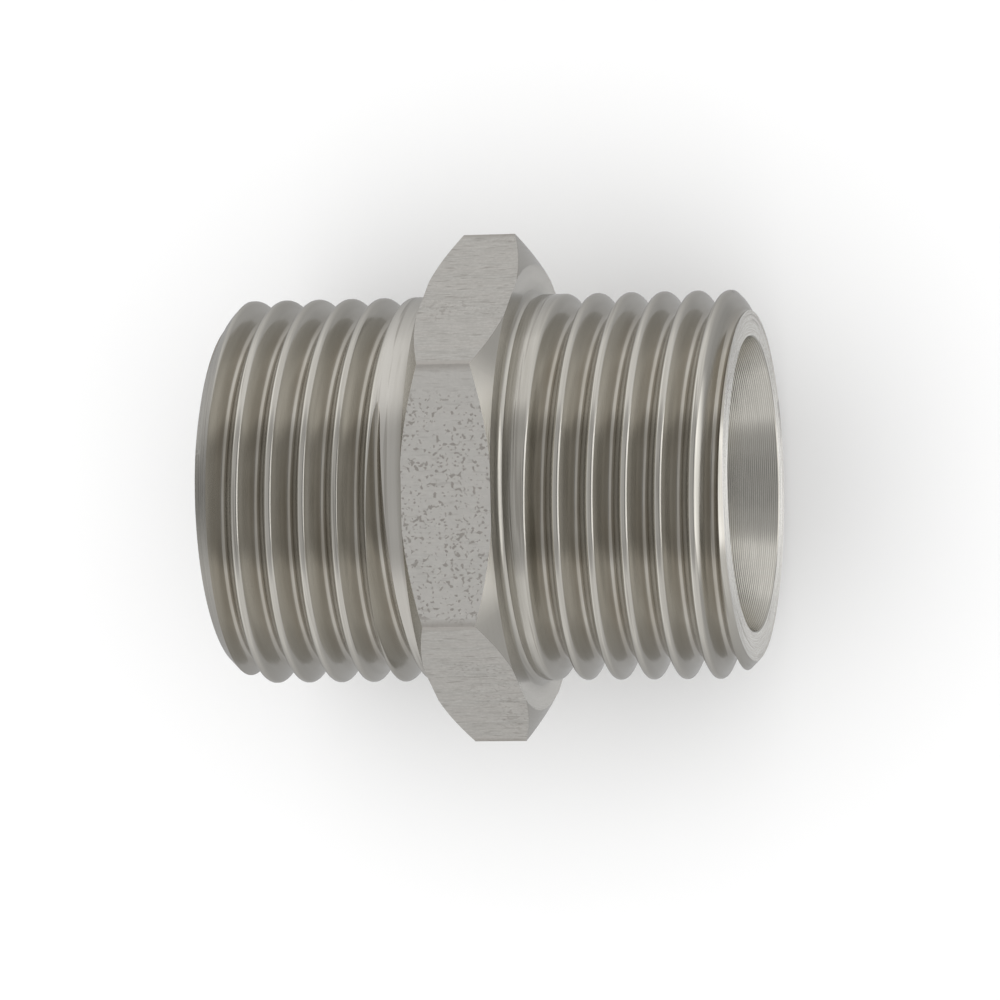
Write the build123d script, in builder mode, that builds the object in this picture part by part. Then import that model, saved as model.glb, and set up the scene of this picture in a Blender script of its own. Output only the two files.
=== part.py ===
from build123d import *

import os
from math import ceil, cos, radians, sin, sqrt, tan

os.makedirs("parts", exist_ok=True)

# A hex nipple turned from one piece of hexagonal stainless steel bar: two male parallel pipe
# threads, one on each end, with a spanner hexagon between them and a bore right through.
#
# Frame: X is the flow axis, the origin is the middle of the hexagon on that axis, and +Z is up.
# The nipple lies on one hexagon flat, so two flats face +Z and -Z, and two corners point to +Y
# and -Y. The thread towards -X is the one towards +X turned half round about the Y axis.

# Overall size and hexagon (a 24 mm spanner size)
total_length = 28.44
hex_across_flats = 23.8
hex_edge_length = 2.81          # what the two corner chamfers leave of each corner edge
hex_chamfer_angle = 30.0        # between the chamfer cone and the hexagon's end faces
hex_chamfer_margin = 0.13       # the chamfer's inner circle lies this much outside the flats

# Pipe thread G 1/2: parallel, 14 threads per inch, 55 degree rounded form
pitch = 25.4 / 14
flank_angle = 55.0 / 2
thread_height = 0.640327 * pitch
thread_rounding = 0.137329 * pitch
thread_blank_diameter = 20.86   # the turned blank, just inside the basic 20.955 mm
crest_flat = 0.12               # the narrow band of the blank left on each crest
left_handed = True

# The thread groove on the +X end. Angles turn about +X, from +Y towards +Z.
runout_position = 4.195         # the groove stops moving along the axis here
runout_angle = 167.0            # the helix ends and the ring begins
runout_ring_arc = 47.0          # the groove at its full depth, square to the axis
runout_fade_arc = 86.0          # the groove climbs out of the metal along an eccentric arc
runout_eccentricity = 1.40

# Turned ends
end_face_diameter = 18.98       # outer edge of the flat end face, where its bevel starts
seat_mouth_diameter = 15.88     # the tapered mouth of the bore, at the end face
seat_half_angle = 15.0
bore_diameter = 14.0

# Neck groove between the hexagon and the thread
neck_width = 0.27
neck_diameter = 20.62
neck_fillet = 0.50
neck_bevel = 0.30

# Radii and lengths worked out from those
half_length = total_length / 2
hex_corner_radius = hex_across_flats / 2 / cos(radians(30))
chamfer_circle_radius = hex_across_flats / 2 + hex_chamfer_margin
chamfer_depth = (hex_corner_radius - chamfer_circle_radius) * tan(radians(hex_chamfer_angle))
hex_half_width = hex_edge_length / 2 + chamfer_depth
blank_radius = thread_blank_diameter / 2
end_face_radius = end_face_diameter / 2
neck_radius = neck_diameter / 2
neck_end = hex_half_width + neck_width
bore_radius = bore_diameter / 2
seat_radius = seat_mouth_diameter / 2
seat_depth = (seat_radius - bore_radius) / tan(radians(seat_half_angle))

# Thread form: arcs of one radius at the root and at the crest, joined by straight flanks
arc_half_width = thread_rounding * cos(radians(flank_angle))
arc_height = thread_rounding * (1 - sin(radians(flank_angle)))
crest_radius = blank_radius + thread_rounding - sqrt(thread_rounding**2 - (crest_flat / 2) ** 2)
root_radius = crest_radius - thread_height


def groove_side(side):
    """Half of the groove's section, from the middle of the root to just outside the blank."""
    flank_direction = (cos(radians(flank_angle)), side * sin(radians(flank_angle)))
    crest_gap = 0.8 * crest_flat / 2
    crest_drop = thread_rounding - sqrt(thread_rounding**2 - crest_gap**2)
    root_end = (root_radius + arc_height, side * arc_half_width)
    flank_end = (crest_radius - arc_height, side * (pitch / 2 - arc_half_width))
    crest_end = (crest_radius - crest_drop, side * (pitch / 2 - crest_gap))
    outside = (crest_radius + thread_height / 2, side * (pitch / 2 - crest_gap))
    TangentArc((root_radius, 0), root_end, tangent=(0, side))
    Line(root_end, flank_end)
    TangentArc(flank_end, crest_end, tangent=flank_direction)
    Line(crest_end, outside)
    return outside


def groove_section():
    """The whole section of the groove: radius first, then distance along the thread's axis."""
    with BuildSketch(Plane.XZ) as section:
        with BuildLine():
            upper_corner = groove_side(1)
            lower_corner = groove_side(-1)
            Line(upper_corner, lower_corner)
        make_face()
    return section.sketch


# The hexagon, with a chamfer cone turned on each side of it.
with BuildPart() as hexagon:
    with BuildSketch(Plane.YZ):
        RegularPolygon(hex_corner_radius, side_count=6)
    extrude(amount=hex_half_width, both=True)
    with BuildSketch(Plane.XY):
        with BuildLine():
            corner_end = (hex_edge_length / 2, hex_corner_radius)
            face_edge = (hex_half_width, chamfer_circle_radius)
            Polyline((0, 0), (0, hex_corner_radius), corner_end, face_edge, (hex_half_width, 0), (0, 0))
        make_face()
        mirror(about=Plane.YZ)
    revolve(axis=Axis.X, mode=Mode.INTERSECT)


# The metal cut away for one thread. Its own Z is the thread's axis, pointing to the free end.
# The helix starts in its own XZ plane, where the ring and then the fade lead on the other way.
thread_turns = ceil((half_length - runout_position) / pitch)
runout_direction = 1 if left_handed else -1

with BuildPart() as turn_cut:
    with BuildLine() as turn_path:
        Helix(pitch, pitch, root_radius, lefthand=left_handed)
    sweep(groove_section(), path=turn_path.line, is_frenet=True)

with BuildPart() as ring_cut:
    revolve(groove_section(), axis=Axis.Z, revolution_arc=runout_direction * runout_ring_arc)

with BuildPart() as fade_cut:
    fade_axis = Axis((-runout_eccentricity, 0, 0), (0, 0, 1))
    revolve(groove_section(), axis=fade_axis, revolution_arc=runout_direction * runout_fade_arc)

runout_radius_direction = (0, cos(radians(runout_angle)), sin(radians(runout_angle)))
thread_plane = Plane((runout_position, 0, 0), x_dir=runout_radius_direction, z_dir=(1, 0, 0))
ring_end = Location((0, 0, 0), (0, 0, runout_direction * runout_ring_arc))
other_end = Location((0, 0, 0), (0, 180, 0))
thread_cuts = [
    thread_plane.location * ring_cut.part,
    thread_plane.location * ring_end * fade_cut.part,
]
for turn in range(thread_turns):
    thread_cuts.append(thread_plane.location * Location((0, 0, turn * pitch)) * turn_cut.part)


# The whole nipple.
with BuildPart() as nipple_body:
    # Turned blanks of both ends, each with its bevel and its neck groove beside the hexagon
    with BuildSketch(Plane.XY):
        with BuildLine():
            fillet_drop = sqrt(neck_fillet**2 - (neck_fillet - neck_width) ** 2)
            fillet_start = (hex_half_width, neck_radius + fillet_drop)
            neck_bottom = (neck_end, neck_radius)
            Polyline((neck_end, 0), (0, 0), (0, fillet_start[1]), fillet_start)
            TangentArc(fillet_start, neck_bottom, tangent=(0, -1))
            Polyline(
                neck_bottom,
                (neck_end + neck_bevel, blank_radius),
                (half_length - (blank_radius - end_face_radius), blank_radius),
                (half_length, end_face_radius),
                (half_length, 0),
                (neck_end, 0),
            )
        make_face()
        mirror(about=Plane.YZ)
    revolve(axis=Axis.X)
    add(hexagon.part)

    # Bore, tapered at both mouths
    with BuildSketch(Plane.XY):
        with BuildLine():
            Polyline(
                (0, 0),
                (0, bore_radius),
                (half_length - seat_depth, bore_radius),
                (half_length, seat_radius),
                (half_length, 0),
                (0, 0),
            )
        make_face()
        mirror(about=Plane.YZ)
    revolve(axis=Axis.X, mode=Mode.SUBTRACT)

    # Threads
    for cut in thread_cuts:
        add(cut, mode=Mode.SUBTRACT)
        add(other_end * cut, mode=Mode.SUBTRACT)

nipple_body.part.label = "nipple_body"
export_step(nipple_body.part, "parts/nipple_body.step")
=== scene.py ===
from math import cos, pi, radians, sin, sqrt, tan

import bmesh
import bpy
import numpy as np
from mathutils import Matrix, Vector


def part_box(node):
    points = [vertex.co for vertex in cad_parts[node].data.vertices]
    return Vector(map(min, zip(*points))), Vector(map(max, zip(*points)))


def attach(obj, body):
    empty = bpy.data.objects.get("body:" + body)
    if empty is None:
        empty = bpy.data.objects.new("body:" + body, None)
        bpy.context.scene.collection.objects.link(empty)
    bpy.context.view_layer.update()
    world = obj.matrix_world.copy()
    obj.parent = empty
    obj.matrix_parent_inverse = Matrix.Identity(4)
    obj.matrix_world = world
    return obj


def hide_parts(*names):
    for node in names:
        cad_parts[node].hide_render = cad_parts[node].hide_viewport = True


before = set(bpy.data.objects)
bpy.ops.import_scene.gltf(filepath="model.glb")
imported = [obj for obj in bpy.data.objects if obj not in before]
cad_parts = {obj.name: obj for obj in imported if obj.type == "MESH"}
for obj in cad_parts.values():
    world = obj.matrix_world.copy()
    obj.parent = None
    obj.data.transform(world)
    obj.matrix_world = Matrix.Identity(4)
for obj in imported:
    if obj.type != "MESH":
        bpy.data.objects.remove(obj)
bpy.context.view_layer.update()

# Lengths below are in millimetres, and the mesh is scaled to metres as it is made.
# The frame is the CAD's: X along the bore, two hexagon flats at +Z and -Z, corners at +Y and -Y.
# An angle turns about X, from +Z towards +Y.
MM = 0.001
low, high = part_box("nipple_body")

# Outer sizes, read from the frame
END = high.x / MM
FLAT_RADIUS = high.z / MM
CORNER_RADIUS = high.y / MM

# Hexagon and turned sizes, as in the CAD model
HEX_HALF_WIDTH = 2.3928
CHAMFER_RADIUS = FLAT_RADIUS + 0.13
CHAMFER_ANGLE = radians(30)
CORNER_ROUNDING = 0.07
BLANK_RADIUS = 10.43
END_FACE_RADIUS = 9.49
BEVEL_START = END - (BLANK_RADIUS - END_FACE_RADIUS)
NECK_WIDTH = 0.27
NECK_RADIUS = 10.31
NECK_FILLET = 0.50
NECK_BEVEL = 0.30
LAND_START = HEX_HALF_WIDTH + NECK_WIDTH + NECK_BEVEL
SEAT_RADIUS = 7.94
SEAT_ANGLE = radians(15)
BORE_RADIUS = 7.0
MOUTH_BREAK = 0.045

# Pipe thread
PITCH = 25.4 / 14
FLANK_ANGLE = radians(27.5)
ROUNDING = 0.137329 * PITCH
THREAD_HEIGHT = 0.640327 * PITCH
CREST_FLAT = 0.12            # the narrow band of the blank left on each crest
CREST_RADIUS = BLANK_RADIUS + ROUNDING - sqrt(ROUNDING**2 - (CREST_FLAT / 2) ** 2)
ROOT_RADIUS = CREST_RADIUS - THREAD_HEIGHT
ARC_HALF_WIDTH = ROUNDING * cos(FLANK_ANGLE)
ARC_HEIGHT = ROUNDING * (1 - sin(FLANK_ANGLE))

# Where the groove on the +X end stops following the helix, turns square, and fades out
RING_POSITION = 4.195
RING_START = -77.0
FADE_START = -124.0
FADE_END = -210.0
FADE_ECCENTRICITY = 1.40
NO_CUT = 1.3                 # lifts the groove clear of the metal
WALL_SLOPE = 10              # of the groove's surface beyond its own crests
LEAD_IN = 2.0                # the hidden groove's travel along the axis, in a turn, before the fade

# Mesh. A column is a line of points along the nipple, and a row is a ring of points round it.
# SIDE_ROWS are the rows' distances from a groove's middle, closer where the arcs are.
FIRST_COLUMN, LAST_COLUMN = 150.0, -210.0
STEP = 1.5                   # degrees between columns
CORNER_GAPS = (0.08, 0.16)   # degrees from a corner to the extra columns beside it
SIDE_ROWS = (0.0, 0.075, 0.15, 0.221, 0.37, 0.53, 0.686, 0.745, 0.80, 0.847)
GROOVES = range(-2, 9)       # the groove's turns, from before the fade to beyond the end
MERGE = 2e-4                 # points closer than this are one point
ON_BLANK = 2e-4              # a cut shallower than this leaves the blank's own surface
SHARP_ANGLE = radians(29)
HALVINGS = 36                # steps in looking for a crossing
TEXTURE_RADIUS = 10          # where a groove's length is measured for its texture
BODY = "root"


def columns():
    """Angles of the columns, with more at the corners and where the chamfer meets a flat's middle."""
    angles = list(np.arange(FIRST_COLUMN, LAST_COLUMN - STEP / 2, -STEP))
    cone_start = np.degrees(np.arccos(FLAT_RADIUS / CHAMFER_RADIUS))
    for turn in range(7):
        corner = FIRST_COLUMN - 60.0 * turn
        angles += [corner + side * gap for side in (-1, 1) for gap in CORNER_GAPS]
    for turn in range(6):
        middle = FIRST_COLUMN - 30.0 - 60.0 * turn
        angles += [middle - cone_start, middle + cone_start]
    inside = {round(angle, 6) for angle in angles if LAST_COLUMN <= angle <= FIRST_COLUMN}
    return np.array(sorted(inside, reverse=True))


PHI = columns()


def groove_radius(offset):
    """Radius of the thread groove's surface, at a distance along the axis from its middle."""
    x = np.abs(offset)
    root = ROOT_RADIUS + ROUNDING - np.sqrt(ROUNDING**2 - np.minimum(x, ARC_HALF_WIDTH) ** 2)
    flank = ROOT_RADIUS + ARC_HEIGHT + (x - ARC_HALF_WIDTH) / tan(FLANK_ANGLE)
    from_crest = np.clip(PITCH / 2 - x, 0, ARC_HALF_WIDTH)
    crest = CREST_RADIUS - ROUNDING + np.sqrt(ROUNDING**2 - from_crest**2)
    outer = np.where(x <= PITCH / 2 - ARC_HALF_WIDTH, flank, crest)
    return np.where(x <= ARC_HALF_WIDTH, root, outer) + np.maximum(x - PITCH / 2, 0) * WALL_SLOPE


def blank_profile(along):
    """Radius of the turned blank before its thread was cut."""
    return np.clip(BLANK_RADIUS - (along - BEVEL_START), END_FACE_RADIUS, BLANK_RADIUS)


def groove_centre(turned):
    """Where the groove's middle lies along the axis. turned is in degrees and counts whole turns."""
    on_helix = RING_POSITION + PITCH * (turned - RING_START) / 360
    before = RING_POSITION + LEAD_IN * np.minimum(turned - FADE_END, 0) / 360
    return np.where(turned > RING_START, on_helix, before)


def groove_lift(turned):
    """How far the run-out has lifted the groove out of the metal."""
    angle = np.radians(np.clip(FADE_START - turned, 0, FADE_START - FADE_END))
    reach = ROOT_RADIUS + FADE_ECCENTRICITY
    climb = np.sqrt(reach**2 - (FADE_ECCENTRICITY * np.sin(angle)) ** 2)
    lift = climb - FADE_ECCENTRICITY * np.cos(angle) - ROOT_RADIUS
    return np.where(turned < FADE_END - 0.001, NO_CUT, lift)


def crossing(height, shape):
    """Where a rising height passes zero, between the groove's middle and half a pitch from it."""
    near, far = np.zeros(shape), np.full(shape, PITCH / 2)
    for _ in range(HALVINGS):
        middle = (near + far) / 2
        inside = height(middle) < 0
        near, far = np.where(inside, middle, near), np.where(inside, far, middle)
    return (near + far) / 2


class Shell:
    """Collects grids of points into one mesh. Each face has a finish, and each point two lengths."""

    def __init__(self):
        self.points, self.faces, self.finish, self.lengths = [], [], [], []
        self.count = 0

    def grid(self, along, radius, angle, finish, u=None, v=None):
        cols, rows = along.shape
        turn = np.radians(angle)
        points = np.stack([along, radius * np.sin(turn), radius * np.cos(turn)], -1).reshape(-1, 3)
        u = np.zeros(along.shape) if u is None else u
        v = np.zeros(along.shape) if v is None else v
        index = np.arange(cols * rows).reshape(cols, rows)
        corners = np.stack([index[:-1, :-1], index[:-1, 1:], index[1:, 1:], index[1:, :-1]], -1)
        corners = corners.reshape(-1, 4)
        flat_u, flat_v = u.reshape(-1), v.reshape(-1)
        self.points.append(points)
        self.faces.append(corners + self.count)
        self.finish.append(np.broadcast_to(finish, (cols - 1, rows - 1)).reshape(-1))
        self.lengths.append(np.stack([flat_u[corners], flat_v[corners]], -1))
        self.count += len(points)

    def turned_end_for_end(self, first):
        """Adds a copy of what was added from item `first` on, turned half round about Y."""
        for item in range(first, len(self.points)):
            start = self.count
            before = sum(len(p) for p in self.points[:item])
            self.points.append(self.points[item] * np.array([-1.0, 1.0, -1.0]))
            self.faces.append(self.faces[item] - before + start)
            self.finish.append(self.finish[item])
            self.lengths.append(self.lengths[item])
            self.count += len(self.points[item])

    def mesh(self, name):
        points = np.concatenate(self.points) * MM
        faces = np.concatenate(self.faces)
        finish = np.concatenate(self.finish)
        lengths = np.concatenate(self.lengths)
        data = bpy.data.meshes.new(name)
        data.from_pydata(points.tolist(), [], faces.tolist())
        data.polygons.foreach_set("material_index", finish.astype(np.int32))
        data.polygons.foreach_set("use_smooth", np.ones(len(faces), bool))
        layer = data.uv_layers.new(name="groove")
        layer.uv.foreach_set("vector", lengths.reshape(-1).astype(np.float32))
        work = bmesh.new()
        work.from_mesh(data)
        bmesh.ops.remove_doubles(work, verts=work.verts, dist=MERGE * MM)
        bmesh.ops.dissolve_degenerate(work, edges=work.edges, dist=MERGE / 2 * MM)
        bmesh.ops.recalc_face_normals(work, faces=work.faces)
        work.to_mesh(data)
        work.free()
        data.set_sharp_from_angle(angle=SHARP_ANGLE)
        return data


TURNED, THREADED, DRAWN, BORED = range(4)


def add_thread(shell):
    """Both threads, from the neck to the end face. Returns the end face's outline."""
    turned = PHI[:, None] + 360.0 * np.array(GROOVES)[None, :]
    centre, lift = groove_centre(turned), groove_lift(turned)
    shape = centre.shape
    right = crossing(lambda x: groove_radius(x) + lift - blank_profile(centre + x), shape)
    left = crossing(lambda x: groove_radius(x) + lift - blank_profile(centre - x), shape)

    # Neighbouring grooves that overlap meet in a ridge
    apart = centre[:, 1:] - centre[:, :-1]
    ridge = crossing(
        lambda x: groove_radius(x) + lift[:, :-1] - groove_radius(apart - x) - lift[:, 1:],
        apart.shape,
    )
    right[:, :-1] = np.minimum(right[:, :-1], ridge)
    left[:, 1:] = np.minimum(left[:, 1:], np.maximum(apart - ridge, 0))

    share = np.array(SIDE_ROWS) / SIDE_ROWS[-1]
    rows, u_rows, v_rows = [], [], []
    start = np.full(len(PHI), LAND_START)
    rows.append(start)
    u_rows.append(turned[:, 0])
    v_rows.append(start * 0)
    for k in range(len(GROOVES)):
        if k:
            end_of_last = centre[:, k - 1] + right[:, k - 1]
            start_of_this = centre[:, k] - left[:, k]
            crest = (end_of_last + start_of_this) / 2
            has_bevel = (end_of_last < BEVEL_START) & (start_of_this > BEVEL_START)
            rows.append(np.where(has_bevel, BEVEL_START, crest))
            u_rows.append(turned[:, k])
            v_rows.append(start * 0 + PITCH / 2)
        for part in share[::-1]:
            rows.append(centre[:, k] - left[:, k] * part)
            u_rows.append(turned[:, k])
            v_rows.append(-left[:, k] * part)
        for part in share[1:]:
            rows.append(centre[:, k] + right[:, k] * part)
            u_rows.append(turned[:, k])
            v_rows.append(right[:, k] * part)
    rows.append(np.full(len(PHI), END))
    u_rows.append(turned[:, -1])
    v_rows.append(start * 0)
    along = np.clip(np.stack(rows, 1), LAND_START, END)
    along = np.maximum.accumulate(along, axis=1)

    blank = blank_profile(along)
    radius = blank.copy()
    for k in range(len(GROOVES)):
        groove = groove_radius(along - centre[:, k, None]) + lift[:, k, None]
        radius = np.minimum(radius, groove)
    angle = np.broadcast_to(PHI[:, None], along.shape)

    on_blank = np.abs(radius - blank) < ON_BLANK
    all_on = on_blank[:-1, :-1] & on_blank[:-1, 1:] & on_blank[1:, 1:] & on_blank[1:, :-1]
    finish = np.where(all_on, TURNED, THREADED)
    u = np.radians(np.stack(u_rows, 1)) * TEXTURE_RADIUS
    first = len(shell.points)
    shell.grid(along, radius, angle, finish, u, np.stack(v_rows, 1))
    shell.turned_end_for_end(first)
    return radius[:, -1]


def hex_radius():
    """Radius of the hexagonal bar at each column, with its corners slightly rounded."""
    off_flat = np.radians((PHI + 30.0) % 60.0 - 30.0)
    sharp = FLAT_RADIUS / np.cos(off_flat)
    to_centre = (FLAT_RADIUS - CORNER_ROUNDING) / cos(radians(30))
    off_corner = radians(30) - np.abs(off_flat)
    inside = np.maximum(CORNER_ROUNDING**2 - (to_centre * np.sin(off_corner)) ** 2, 0)
    rounded = to_centre * np.cos(off_corner) + np.sqrt(inside)
    reach = CORNER_ROUNDING * sin(radians(30)) / (to_centre + CORNER_ROUNDING)
    return np.where(off_corner < reach, np.minimum(sharp, rounded), sharp)


def add_body(shell):
    """Necks, hexagon end faces, chamfer cones and flats."""
    bar = hex_radius()
    ones = np.ones(len(PHI))
    fillet_drop = sqrt(NECK_FILLET**2 - (NECK_FILLET - NECK_WIDTH) ** 2)
    centre = (HEX_HALF_WIDTH + NECK_FILLET, NECK_RADIUS + fillet_drop)
    last = np.arccos((NECK_FILLET - NECK_WIDTH) / NECK_FILLET)
    profile = [(LAND_START * ones, BLANK_RADIUS * ones, TURNED)]
    for turn in np.linspace(last, 0, 9):
        fillet_along = centre[0] - NECK_FILLET * cos(turn)
        fillet_radius = centre[1] - NECK_FILLET * sin(turn)
        profile.append((fillet_along * ones, fillet_radius * ones, TURNED))
    chamfer = np.minimum(CHAMFER_RADIUS, bar)
    face_start = centre[1]
    for part in (0.5, 1.0):
        profile.append((HEX_HALF_WIDTH * ones, face_start + (chamfer - face_start) * part, TURNED))
    edge = HEX_HALF_WIDTH - (bar - chamfer) * tan(CHAMFER_ANGLE)
    for part in (0.5, 1.0):
        cone_along = HEX_HALF_WIDTH + (edge - HEX_HALF_WIDTH) * part
        profile.append((cone_along, chamfer + (bar - chamfer) * part, TURNED))
    half = len(profile) - 1
    for part in np.linspace(1, -1, 9)[1:]:
        profile.append((edge * part, bar, DRAWN))
    for item in range(half + 1, 0, -1):
        along, radius, _ = profile[item - 1]
        finish = profile[item][2] if item <= half else TURNED
        profile.append((-along, radius, finish))
    along = np.stack([row[0] for row in profile], 1)
    radius = np.stack([row[1] for row in profile], 1)
    finish = np.array([row[2] for row in profile[1:]])[None, :]
    shell.grid(along, radius, np.broadcast_to(PHI[:, None], along.shape), finish)


def add_bore(shell, outer):
    """End faces, tapered mouths and bore. outer is the radius of the +X end face at each column."""
    places = {round(angle % 360, 4): item for item, angle in enumerate(PHI)}
    other_outer = np.array([outer[places[round((180 - angle) % 360, 4)]] for angle in PHI])
    seat_end = END - (SEAT_RADIUS - BORE_RADIUS) / tan(SEAT_ANGLE)
    side = [
        (END, END_FACE_RADIUS),
        (END, (END_FACE_RADIUS + SEAT_RADIUS) / 2),
        (END, SEAT_RADIUS + MOUTH_BREAK),
        (END - MOUTH_BREAK, SEAT_RADIUS - MOUTH_BREAK * tan(SEAT_ANGLE)),
        ((END + seat_end) / 2, (SEAT_RADIUS + BORE_RADIUS) / 2),
        (seat_end, BORE_RADIUS),
        # Rows that keep the bore's faces from being long and thin
        (seat_end * 0.6, BORE_RADIUS),
        (seat_end * 0.2, BORE_RADIUS),
    ]
    profile = side + [(-along, radius) for along, radius in reversed(side)]
    along, radius = np.array(profile).T
    finish = np.array([TURNED] * 3 + [BORED] * (len(profile) - 7) + [TURNED] * 3)[None, :]
    shape = (len(PHI), len(profile))
    radius = np.broadcast_to(radius, shape).copy()
    radius[:, 0], radius[:, -1] = outer, other_outer
    angle = np.broadcast_to(PHI[:, None], shape)
    shell.grid(np.broadcast_to(along, shape), radius, angle, finish)


shell = Shell()
end_outline = add_thread(shell)
add_body(shell)
add_bore(shell, end_outline)
mesh = shell.mesh("nipple")
nipple = bpy.data.objects.new("nipple", mesh)
bpy.context.scene.collection.objects.link(nipple)


# Materials -------------------------------------------------------------------------------------

class Nodes:
    """Short calls for a material's nodes. A value may be a number, a tuple or another node's output."""

    def __init__(self, name):
        self.material = bpy.data.materials.new(name)
        self.begin(self.material)

    def begin(self, owner):
        owner.use_nodes = True
        self.tree = owner.node_tree
        self.tree.nodes.clear()

    def end(self, kind, shader):
        self.tree.links.new(shader, self.tree.nodes.new(kind).inputs[0])

    def node(self, kind, inputs=None, out=0, **settings):
        made = self.tree.nodes.new(kind)
        for key, value in settings.items():
            setattr(made, key, value)
        for key, value in (inputs or {}).items():
            if isinstance(value, bpy.types.NodeSocket):
                self.tree.links.new(value, made.inputs[key])
            else:
                made.inputs[key].default_value = value
        return made.outputs[out]

    def maths(self, operation, *values):
        return self.node("ShaderNodeMath", dict(enumerate(values)), operation=operation)

    def plus(self, first, *others):
        for other in others:
            first = self.maths("ADD", first, other)
        return first

    def times(self, first, *others):
        for other in others:
            first = self.maths("MULTIPLY", first, other)
        return first

    def minus(self, first, second):
        return self.maths("SUBTRACT", first, second)

    def size(self, value):
        return self.maths("ABSOLUTE", value)

    def hypotenuse(self, first, second):
        return self.maths("SQRT", self.plus(self.times(first, first), self.times(second, second)))

    def split(self, vector):
        made = self.tree.nodes.new("ShaderNodeSeparateXYZ")
        self.tree.links.new(vector, made.inputs[0])
        return made.outputs

    def position(self):
        """Place in millimetres."""
        place = self.node("ShaderNodeTexCoord", out=3)
        return self.node("ShaderNodeVectorMath", {0: place, 3: 1 / MM}, operation="SCALE")

    def stretch(self, vector, x, y, z):
        return self.node("ShaderNodeMapping", {"Vector": vector, "Scale": (x, y, z)})

    def noise(self, vector, scale, detail=2.0, rough=0.5):
        inputs = {"Vector": vector, "Scale": scale, "Detail": detail, "Roughness": rough}
        return self.node("ShaderNodeTexNoise", inputs)

    def ramp(self, value, low_in, high_in, low_out=0.0, high_out=1.0, **settings):
        inputs = {0: value, 1: low_in, 2: high_in, 3: low_out, 4: high_out}
        return self.node("ShaderNodeMapRange", inputs, **settings)

    def mix(self, share, first, second):
        return self.node("ShaderNodeMix", {0: share, 6: first, 7: second}, out=2, data_type="RGBA")

    def bump(self, height, distance):
        return self.node("ShaderNodeBump", {"Height": height, "Distance": distance * MM})

    def metal(self, colour, roughness, normal, anisotropy=0.0):
        """Ends the material. With anisotropy, it has been turned in a lathe."""
        values = {"Base Color": colour, "Roughness": roughness, "Normal": normal, "Metallic": 1.0}
        if anisotropy:
            around = self.node("ShaderNodeTangent", direction_type="RADIAL", axis="X")
            values.update({"Anisotropic": anisotropy, "Anisotropic Rotation": 0.25, "Tangent": around})
        self.end("ShaderNodeOutputMaterial", self.node("ShaderNodeBsdfPrincipled", values))
        return self.material

    def distance_from_axis(self):
        _, y, z = self.split(self.position())
        return self.hypotenuse(y, z)

    def rings(self):
        """Coordinates in which anything turned in a lathe is long round the axis and thin across."""
        x, y, z = self.split(self.position())
        radius = self.distance_from_axis()
        across = self.plus(x, self.times(radius, RING_LEAN))
        scale = self.maths("DIVIDE", RING_RADIUS, radius)
        parts = {0: self.times(y, scale), 1: self.times(z, scale), 2: across}
        return self.node("ShaderNodeCombineXYZ", parts)


RING_RADIUS = 3.0            # every ring is drawn at this radius, so that all are equally long
RING_LEAN = 1.9              # keeps faces square to the axis from being one single ring

# Colours, from the lightest to the darkest marks. The lightest is painted light on the top flat
TOP_FLAT_PAINTED_LIGHT = (0.78, 0.765, 0.735, 1)
ROUGH_METAL = (0.62, 0.60, 0.57, 1)
SKIN = (0.61, 0.598, 0.57, 1)
BORE_CREST = (0.60, 0.585, 0.54, 1)
SKIN_BAND = (0.585, 0.56, 0.53, 1)
STEEL = (0.53, 0.512, 0.472, 1)
SKIN_DARK = (0.47, 0.457, 0.43, 1)
STEEL_DARK = (0.45, 0.432, 0.392, 1)
SKIN_MOTTLE = (0.45, 0.435, 0.41, 1)
CORNER_DARKER = (0.36, 0.33, 0.30, 1)
SCRATCH = (0.30, 0.275, 0.25, 1)
ROOT_STAIN = (0.30, 0.26, 0.205, 1)
SPOT = (0.26, 0.23, 0.205, 1)
SCORE = (0.22, 0.20, 0.17, 1)

# In the materials a noise's scale is in features to a millimetre, and a ramp goes from the first
# pair of values to the second.
# Heights of the bump, in millimetres
TURNED_BUMP, THREADED_BUMP, DRAWN_BUMP, BORED_BUMP = 0.004, 0.002, 0.022, 0.004
TURNED_ANISOTROPY, THREADED_ANISOTROPY, BORED_ANISOTROPY = 0.72, 0.55, 0.6
BORE_ROUGHNESS = 0.18
BORE_FEED = 0.105            # distance between the feed marks
BORE_WANDER = 4.0            # how far they stray, in radians of their own wave

ROUGH_BAND_IN, ROUGH_BAND_OUT = (-4.6, -4.2), (-2.55, -2.45)    # along X
CALM_RADIUS = (10.5, 10.9)                  # the cones and end faces lie outside it
SPOT_CENTRE, SPOT_REACH = -0.65, (5.5, 6.3)  # of the spots across the top flat
# Radii over which the flats grow darker towards the corners
CORNER_DARKER_RADII = (CORNER_RADIUS - 0.22, CORNER_RADIUS - 0.06)


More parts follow.
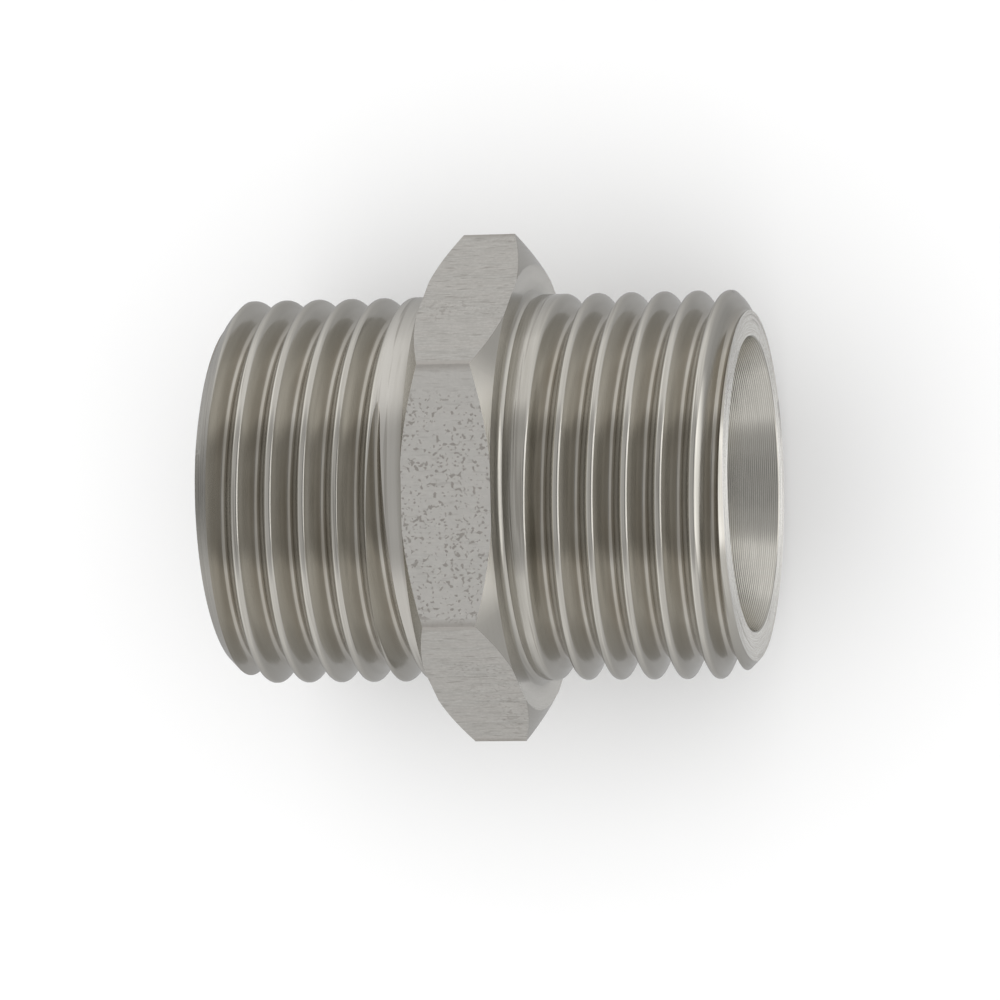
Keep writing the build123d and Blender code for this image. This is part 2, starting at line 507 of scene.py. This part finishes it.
def turned_steel():
    """Lathe finish: fine rings, with a rougher, lighter band beside the hexagon on the -X side."""
    n = Nodes("steel_turned")
    streaks = n.stretch(n.rings(), 0.10, 0.10, 1.0)
    fine = n.noise(streaks, 11.0, rough=0.6)
    coarse = n.noise(streaks, 3.2)
    scored = n.noise(streaks, 5.0, detail=1.0)
    x = n.split(n.position())[0]
    rough_band = n.times(n.ramp(x, *ROUGH_BAND_IN), n.ramp(x, *ROUGH_BAND_OUT, 1.0, 0.0))
    # The hexagon's cones and end faces are smoother than the rest
    calm = n.ramp(n.distance_from_axis(), *CALM_RADIUS, 1.0, 0.15)
    scores = n.times(n.ramp(scored, 0.56, 0.66), n.ramp(coarse, 0.4, 0.55), calm)
    colour = n.mix(n.times(n.ramp(coarse, 0.3, 0.7, 1.0, 0.0), calm), STEEL, STEEL_DARK)
    colour = n.mix(n.times(rough_band, 0.4), colour, ROUGH_METAL)
    colour = n.mix(n.times(scores, 0.45), colour, SCORE)
    rough = n.plus(n.ramp(fine, 0.3, 0.7, 0.15, 0.25), n.times(rough_band, 0.14))
    height = n.times(n.minus(fine, n.times(scores, 1.2)), calm)
    return n.metal(colour, rough, n.bump(height, TURNED_BUMP), TURNED_ANISOTROPY)


def threaded_steel():
    """Cut threads: tool lines that follow the groove, darker towards its root."""
    n = Nodes("steel_threaded")
    place = n.node("ShaderNodeUVMap", uv_map="groove")
    from_root = n.size(n.split(place)[1])
    streaks = n.stretch(place, 0.035, 1.0, 1.0)
    fine = n.noise(streaks, 6.5, detail=0.0)
    coarse = n.noise(streaks, 2.6, detail=1.0)
    stains = n.noise(n.stretch(place, 0.12, 1.0, 1.0), 1.6, detail=3.0, rough=0.6)
    stained = n.times(n.ramp(from_root, 0.45, 0.12), n.ramp(stains, 0.35, 0.7, 0.15, 0.6))
    colour = n.mix(n.ramp(coarse, 0.3, 0.7), STEEL_DARK, STEEL)
    colour = n.mix(stained, colour, ROOT_STAIN)
    rough = n.ramp(fine, 0.3, 0.7, 0.13, 0.22)
    return n.metal(colour, rough, n.bump(fine, THREADED_BUMP), THREADED_ANISOTROPY)


def drawn_steel():
    """The hexagon's flats: the drawn bar's matte skin, with fine lines along it and soft dark spots, and
    painted light that makes the top flat lighter.
    """
    n = Nodes("steel_drawn")
    place = n.position()
    _, y, z = n.split(place)
    along = n.stretch(place, 0.13, 1.0, 1.0)
    grain = n.noise(along, 9.0, rough=0.6)
    bands = n.noise(along, 1.8)
    mottle = n.noise(place, 6.0, rough=0.6)

    # Soft roundish spots of one or two tenths of a millimetre, crowded in some places. They cover
    # the middle of the top flat and patches of the others.
    blots = n.maths("MAXIMUM", n.noise(place, 5.6, 0.4, 0.4), n.noise(place, 4.3, 0.0, 0.4))
    crowding = n.ramp(n.noise(place, 0.8), 0.3, 0.7, 0.71, 0.635)
    spot = n.ramp(n.minus(blots, crowding), -0.03, 0.06)
    top = n.ramp(z, FLAT_RADIUS - 0.3, FLAT_RADIUS - 0.1)
    middle = n.ramp(n.size(n.minus(y, SPOT_CENTRE)), *SPOT_REACH, 1.0, 0.0)
    patches = n.ramp(n.noise(place, 0.22, detail=1.0), 0.5, 0.66, 0.0, 0.55)
    spots = n.times(spot, n.maths("MAXIMUM", n.times(top, middle), patches))

    # Short scratches along the bar, fewer on the top flat
    scratch = n.noise(n.stretch(place, 0.16, 1.0, 1.0), 7.0, detail=1.0)
    scratches = n.times(n.ramp(scratch, 0.62, 0.70, 0.0, 0.45), n.ramp(top, 0.0, 1.0, 1.0, 0.35))

    colour = n.mix(n.ramp(grain, 0.35, 0.65), SKIN_DARK, SKIN)
    colour = n.mix(n.ramp(bands, 0.35, 0.65, 0.0, 0.5), colour, SKIN_BAND)
    colour = n.mix(n.ramp(mottle, 0.40, 0.62, 0.0, 0.35), colour, SKIN_MOTTLE)
    # Painted light: the top flat is made lighter than the others, standing in for the light it mirrors
    colour = n.mix(n.times(top, 0.42), colour, TOP_FLAT_PAINTED_LIGHT)
    colour = n.mix(n.times(spots, 0.55), colour, SPOT)
    colour = n.mix(scratches, colour, SCRATCH)
    # Darker towards the hexagon's corners
    colour = n.mix(n.ramp(n.distance_from_axis(), *CORNER_DARKER_RADII, 0.0, 0.5), colour, CORNER_DARKER)
    rough = n.ramp(grain, 0.3, 0.7, 0.55, 0.68)
    height = n.minus(n.times(grain, 0.8), spots)
    return n.metal(colour, rough, n.bump(height, DRAWN_BUMP))


def bored_steel():
    """Bore: feed marks a tenth of a millimetre apart, a little uneven."""
    n = Nodes("steel_bored")
    ring = n.rings()
    x = n.split(n.position())[0]
    wander = n.noise(n.stretch(ring, 0.5, 0.5, 0.6), 1.2)
    wave = n.plus(n.times(x, 2 * pi / BORE_FEED), n.times(wander, BORE_WANDER))
    feed = n.ramp(n.maths("SINE", wave), -1.0, 1.0)
    fine = n.noise(n.stretch(ring, 0.15, 0.15, 1.0), 9.0, detail=3.0, rough=0.6)
    light = n.ramp(n.plus(n.times(feed, 0.5), n.times(fine, 0.5)), 0.25, 0.75)
    colour = n.mix(light, STEEL_DARK, BORE_CREST)
    height = n.plus(n.times(feed, 0.8), n.times(fine, 0.6))
    return n.metal(colour, BORE_ROUGHNESS, n.bump(height, BORED_BUMP), BORED_ANISOTROPY)


for material in (turned_steel(), threaded_steel(), drawn_steel(), bored_steel()):
    mesh.materials.append(material)


# Camera ----------------------------------------------------------------------------------------

CAMERA_YAW, CAMERA_PITCH, CAMERA_ROLL = 12.581, 1.730, 1.307
CAMERA_DISTANCE = 305.45
CAMERA_ACROSS, CAMERA_UP = -0.2557, 0.6411
SENSOR_WIDTH = 36.0
FOCAL_SHARE = 5.6396         # focal length over the sensor's width

turn = (
    Matrix.Rotation(radians(CAMERA_ROLL), 3, "Z")
    @ Matrix.Rotation(radians(CAMERA_PITCH), 3, "X")
    @ Matrix.Rotation(radians(-CAMERA_YAW), 3, "Y")
).transposed()
camera_data = bpy.data.cameras.new("camera")
camera_data.sensor_width = SENSOR_WIDTH
camera_data.lens = SENSOR_WIDTH * FOCAL_SHARE
camera_data.clip_start = 0.01
camera_data.clip_end = 20.0
camera = bpy.data.objects.new("camera", camera_data)
camera_place = turn @ Vector((-CAMERA_ACROSS, -CAMERA_UP, CAMERA_DISTANCE)) * MM
camera.matrix_world = Matrix.Translation(camera_place) @ turn.to_4x4()
bpy.context.scene.collection.objects.link(camera)
bpy.context.scene.camera = camera


# Light and floor -------------------------------------------------------------------------------

# The metal mirrors a studio that is a brightness for each direction. Round the nipple, from
# straight down at -1 to straight up at 1: the table, a bright band at the height of the nipple on
# both sides, and a soft ceiling.
ROUND = (
    (-1.0, 0.46), (-0.766, 0.58), (-0.515, 0.76), (-0.29, 0.84), (-0.087, 1.15), (0.139, 2.6), (0.325, 2.0),
    (0.485, 1.3), (0.616, 0.85), (0.72, 0.62), (0.82, 0.52), (0.9, 0.64), (1.0, 0.60),
)
# Along the nipple, from -X to +X: darker between the ceiling and the lamps beyond its ends
ALONG = (
    (-1.0, 0.30), (-0.96, 0.6), (-0.86, 1.25), (-0.7, 1.25), (-0.45, 1.0), (0.25, 1.0),
    (0.46, 0.40), (0.62, 0.42), (0.76, 0.62), (0.88, 0.75), (1.0, 0.95),
)
# Lamps beyond both ends, and a strip of the table: their reach along each axis, as fading in from
# the first value to the second and out from the third to the last, and their brightness
NEVER_IN, NEVER_OUT = (-3.0, -2.0), (2.0, 3.0)
LAMPS_Y = (-0.42, -0.33, 0.33, 0.42)
RIGHT_X, RIGHT_Z, RIGHT_LAMP = (0.72, 0.86, *NEVER_OUT), (-0.5, -0.3, 0.52, 0.66), 1.05
LEFT_X, LEFT_Z, LEFT_LAMP = (*NEVER_IN, -0.93, -0.84), (-0.06, 0.02, 0.36, 0.48), 0.3
STRIP_X, STRIP_Y, TABLE_STRIP = (0.0, 0.1, 0.5, 0.65), (-0.056, -0.041, -0.019, -0.004), 1.0
SIDE_LEAN = 0.05             # how much brighter it is towards +Y, and darker towards -Y
WALLS = 0.93                 # the studio as the camera sees it
CEILING_SIZE, CEILING_HEIGHT, CEILING_POWER = 2.4, 1.2, 19.0    # metres, metres, watts
FLOOR_HALF_SIZE = 1.5        # metres
FLOOR_COLOUR, FLOOR_ROUGHNESS = (0.85, 0.85, 0.85, 1), 0.8


class StudioNodes(Nodes):
    """The same calls for the world round the nipple."""

    def __init__(self, name):
        self.world = bpy.data.worlds.new(name)
        self.begin(self.world)

    def curve(self, value, points, interpolation):
        """A brightness that follows points of (place, brightness) as the value goes from -1 to 1."""
        made = self.tree.nodes.new("ShaderNodeValToRGB")
        made.color_ramp.interpolation = interpolation
        elements = made.color_ramp.elements
        while len(elements) > 1:
            elements.remove(elements[-1])
        for item, (place, bright) in enumerate(points):
            share = (place + 1) / 2
            element = elements[0] if item == 0 else elements.new(share)
            element.position = share
            element.color = (bright, bright, bright, 1)
        self.tree.links.new(self.ramp(value, -1, 1), made.inputs[0])
        return made.outputs[0]

    def window(self, value, low_out, low_in, high_in, high_out):
        """1 from low_in to high_in, and 0 outside low_out and high_out."""
        opens = self.ramp(value, low_out, low_in, interpolation_type="SMOOTHSTEP")
        closes = self.ramp(value, high_in, high_out, 1.0, 0.0, interpolation_type="SMOOTHSTEP")
        return self.times(opens, closes)


w = StudioNodes("studio")
dx, dy, dz = w.split(w.node("ShaderNodeTexCoord", out=0))
height = w.maths("DIVIDE", dz, w.maths("MAXIMUM", w.hypotenuse(dy, dz), 0.001))
around = w.curve(height, ROUND, "B_SPLINE")
along = w.curve(dx, ALONG, "EASE")

# The darker gaps along the nipple are only overhead, not out to the sides or below
beside = w.times(w.ramp(w.size(dy), 0.30, 0.55), w.ramp(dx, 0.2, 0.5))
below = w.times(w.ramp(w.size(dy), 0.10, 0.36), w.ramp(dz, -0.2, -0.5))
evened = w.maths("MAXIMUM", beside, below)
along = w.plus(along, w.times(evened, w.minus(1.0, along)))

# Lamps beyond both ends, and a bright strip of the table that the +X end face mirrors
right = w.times(w.window(dx, *RIGHT_X), w.window(dy, *LAMPS_Y), w.window(dz, *RIGHT_Z))
left = w.times(w.window(dx, *LEFT_X), w.window(dy, *LAMPS_Y), w.window(dz, *LEFT_Z))
strip = w.times(w.window(dx, *STRIP_X), w.window(dy, *STRIP_Y), w.ramp(dz, -0.7, -0.8))
lamps = (w.times(right, RIGHT_LAMP), w.times(left, LEFT_LAMP), w.times(strip, TABLE_STRIP))
total = w.plus(w.times(around, along), *lamps)
total = w.times(total, w.plus(1.0, w.times(dy, SIDE_LEAN)))

# Seen straight on, the studio's walls are plain and pale
seen = w.node("ShaderNodeLightPath", out=0)
total = w.plus(w.times(total, w.minus(1.0, seen)), w.times(seen, WALLS))
backdrop = w.node("ShaderNodeBackground", {"Color": (1.0, 1.0, 1.0, 1), "Strength": total})
w.end("ShaderNodeOutputWorld", backdrop)
bpy.context.scene.world = w.world

# The ceiling lights the floor, and isn't seen in the metal
lamp_data = bpy.data.lights.new("ceiling", "AREA")
lamp_data.shape = "RECTANGLE"
lamp_data.size, lamp_data.size_y = CEILING_SIZE, CEILING_SIZE
lamp_data.energy = CEILING_POWER
lamp = bpy.data.objects.new("ceiling", lamp_data)
lamp.location = (0, 0, CEILING_HEIGHT)
lamp.visible_glossy = False
bpy.context.scene.collection.objects.link(lamp)

floor_mesh = bpy.data.meshes.new("floor")
work = bmesh.new()
bmesh.ops.create_grid(work, x_segments=8, y_segments=8, size=FLOOR_HALF_SIZE)
bmesh.ops.translate(work, verts=work.verts, vec=(0, 0, low.z))
work.to_mesh(floor_mesh)
work.free()
floor = bpy.data.objects.new("floor", floor_mesh)
bpy.context.scene.collection.objects.link(floor)
n = Nodes("floor_white")
paint = {"Base Color": FLOOR_COLOUR, "Roughness": FLOOR_ROUGHNESS}
n.end("ShaderNodeOutputMaterial", n.node("ShaderNodeBsdfPrincipled", paint))
floor_mesh.materials.append(n.material)
floor.visible_glossy = False

bpy.context.scene.view_settings.view_transform = "Standard"
bpy.context.scene.view_settings.look = "None"

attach(nipple, BODY)
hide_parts("nipple_body")
